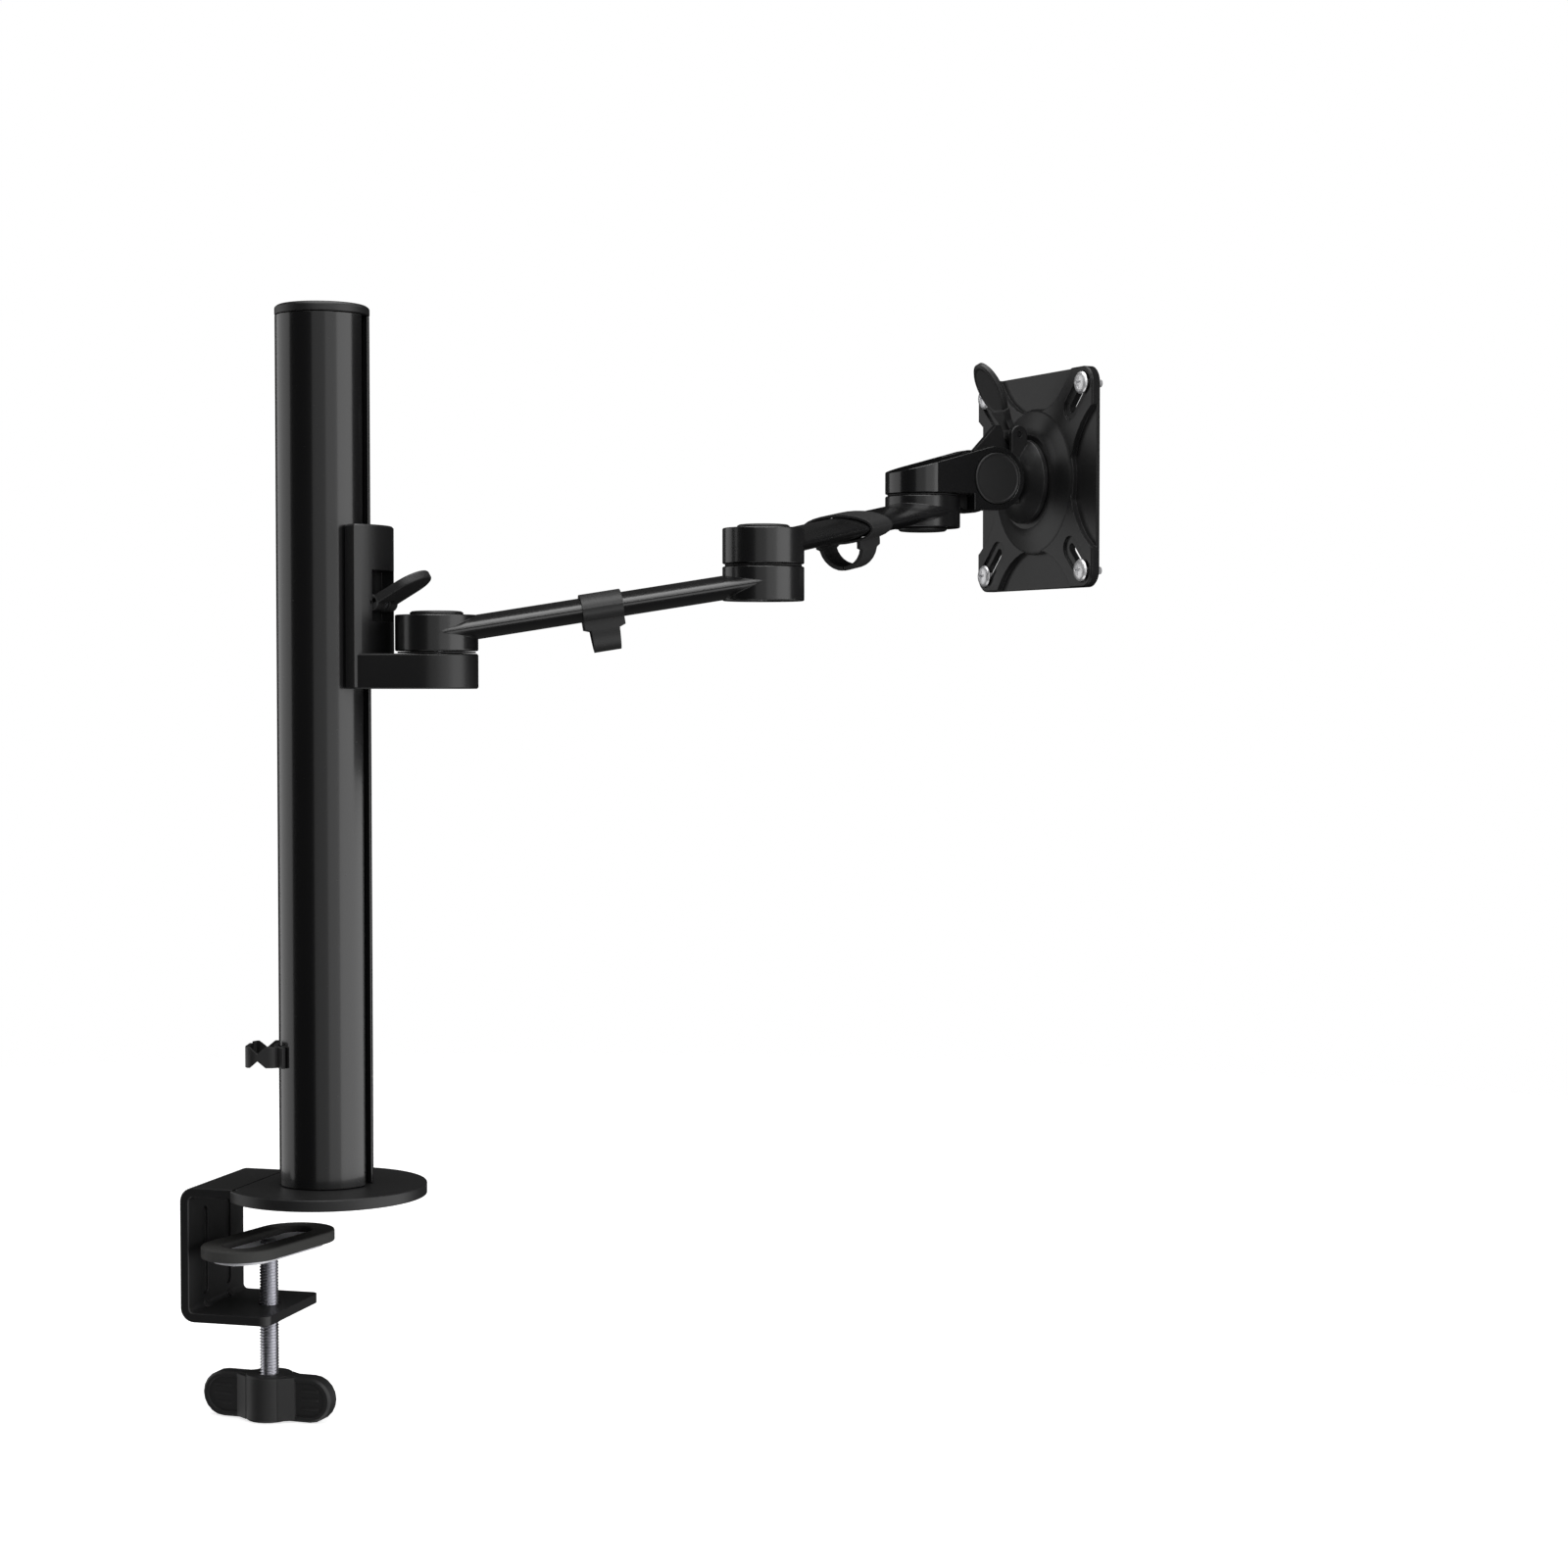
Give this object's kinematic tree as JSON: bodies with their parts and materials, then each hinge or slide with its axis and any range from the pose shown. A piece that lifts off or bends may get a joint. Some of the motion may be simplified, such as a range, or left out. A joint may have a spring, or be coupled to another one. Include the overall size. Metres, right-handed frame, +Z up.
{
  "type": "desk clamp monitor arm",
  "caption": "Desk clamp monitor arm with a round pole, sliding quick-lock bracket, two swivel links, tilting head and a square screen mounting plate.",
  "frame": {"origin": "On the pole axis, on the plane where the base pad rests on the desk top.", "axes": "+X runs from the desk edge into the desk, +Y along the desk edge, +Z up along the pole."},
  "size_m": [0.4186, 0.3538, 0.5525],
  "materials": {
    "gloss_black_aluminium": "gloss black coat",
    "satin_black_aluminium": "satin black coat",
    "satin_black_steel": "satin black powder coat",
    "black_plastic": "fine matte moulding",
    "nylon": "smooth dark nylon",
    "pad_rubber": "fine cell rubber",
    "zinc_steel": "bright zinc plate"
  },
  "bodies": {
    "base": {"base_plate": "satin_black_steel", "base_pad": "pad_rubber", "clamp_bracket": "satin_black_steel", "pole_tube": "gloss_black_aluminium", "pole_cap": "black_plastic", "pole_cable_clip": "black_plastic", "pole_screw_1": "zinc_steel", "pole_screw_2": "zinc_steel", "pole_screw_3": "zinc_steel"},
    "clamp_foot": {"foot_pad": "black_plastic", "foot_plate": "zinc_steel", "foot_rivet_1": "zinc_steel", "foot_rivet_2": "zinc_steel"},
    "clamp_spindle": {"clamp_screw": "zinc_steel", "clamp_knob": "black_plastic"},
    "slider": {"slider_bracket": "satin_black_aluminium", "slider_liner": "nylon", "slot_nut": "zinc_steel", "draw_stud": "zinc_steel", "height_lever_pin": "zinc_steel", "shoulder_nut": "zinc_steel", "shoulder_bolt": "zinc_steel", "shoulder_spring_washer": "zinc_steel", "shoulder_friction_washer": "nylon"},
    "height_lever": {"height_lever": "black_plastic"},
    "lower_link": {"link_1": "gloss_black_aluminium", "link_1_cable_clip": "black_plastic", "shoulder_cap": "black_plastic", "elbow_nut": "zinc_steel", "elbow_bolt": "zinc_steel", "elbow_spring_washer": "zinc_steel", "elbow_friction_washer": "nylon"},
    "upper_link": {"link_2": "gloss_black_aluminium", "link_2_cable_clip": "black_plastic", "elbow_cap": "black_plastic", "wrist_cap": "black_plastic", "wrist_friction_washer": "nylon"},
    "head": {"head_bracket": "gloss_black_aluminium", "wrist_bolt": "zinc_steel", "wrist_spring_washer": "zinc_steel", "tilt_bolt": "zinc_steel", "tilt_nut": "zinc_steel", "tilt_washer_near": "nylon", "tilt_washer_far": "nylon", "tilt_cap_near": "black_plastic", "tilt_cap_far": "black_plastic"},
    "tilt_block": {"tilt_body": "satin_black_aluminium", "release_lever_pin": "zinc_steel", "retaining_disc": "zinc_steel", "retaining_screw": "zinc_steel"},
    "release_lever": {"release_lever": "black_plastic"},
    "plate": {"mounting_plate": "satin_black_steel", "plate_screw_1": "zinc_steel", "plate_screw_2": "zinc_steel", "plate_screw_3": "zinc_steel", "plate_screw_4": "zinc_steel"}
  },
  "joints": [
    {"name": "clamp_travel", "type": "slide", "parent": "base", "child": "clamp_foot", "axis": [0, 0, 1], "range_m": [-0.022, 0.014]},
    {"name": "clamp_turn", "type": "hinge", "parent": "clamp_foot", "child": "clamp_spindle", "pos_m": [-0.0315, 0, -0.06], "axis": [0, 0, 1], "range_deg": [-5300, 3390]},
    {"name": "height_slide", "type": "slide", "parent": "base", "child": "slider", "axis": [0, 0, 1], "range_m": [-0.235, 0.1]},
    {"name": "height_lever_turn", "type": "hinge", "parent": "slider", "child": "height_lever", "pos_m": [0.03, 0, 0.2927], "axis": [0, -1, 0], "range_deg": [-26, 33]},
    {"name": "shoulder_swivel", "type": "hinge", "parent": "slider", "child": "lower_link", "pos_m": [0.0595, 0, 0.28], "axis": [0, 0, 1], "range_deg": [-121, 79]},
    {"name": "elbow_swivel", "type": "hinge", "parent": "lower_link", "child": "upper_link", "pos_m": [0.20874, 0.05768, 0.3115], "axis": [0, 0, 1], "range_deg": [-140, 85]},
    {"name": "wrist_swivel", "type": "hinge", "parent": "upper_link", "child": "head", "pos_m": [0.25566, 0.21065, 0.3546], "axis": [0, 0, 1], "range_deg": [-65, 125]},
    {"name": "head_tilt", "type": "hinge", "parent": "head", "child": "tilt_block", "pos_m": [0.28242, 0.23472, 0.364], "axis": [0.6686, -0.7436, 0], "range_deg": [-45, 35]},
    {"name": "plate_turn", "type": "hinge", "parent": "tilt_block", "child": "plate", "pos_m": [0.31143, 0.26079, 0.364], "axis": [0.7436, 0.6686, 0], "continuous": true},
    {"name": "release_lever_turn", "type": "hinge", "parent": "tilt_block", "child": "release_lever", "pos_m": [0.2973, 0.24809, 0.389], "axis": [0.6686, -0.7436, 0], "range_deg": [-32, 8]}
  ],
  "couplings": [
    {"joint": "clamp_turn", "follows": "clamp_travel", "rad_per_m": 4188.8}
  ]
}
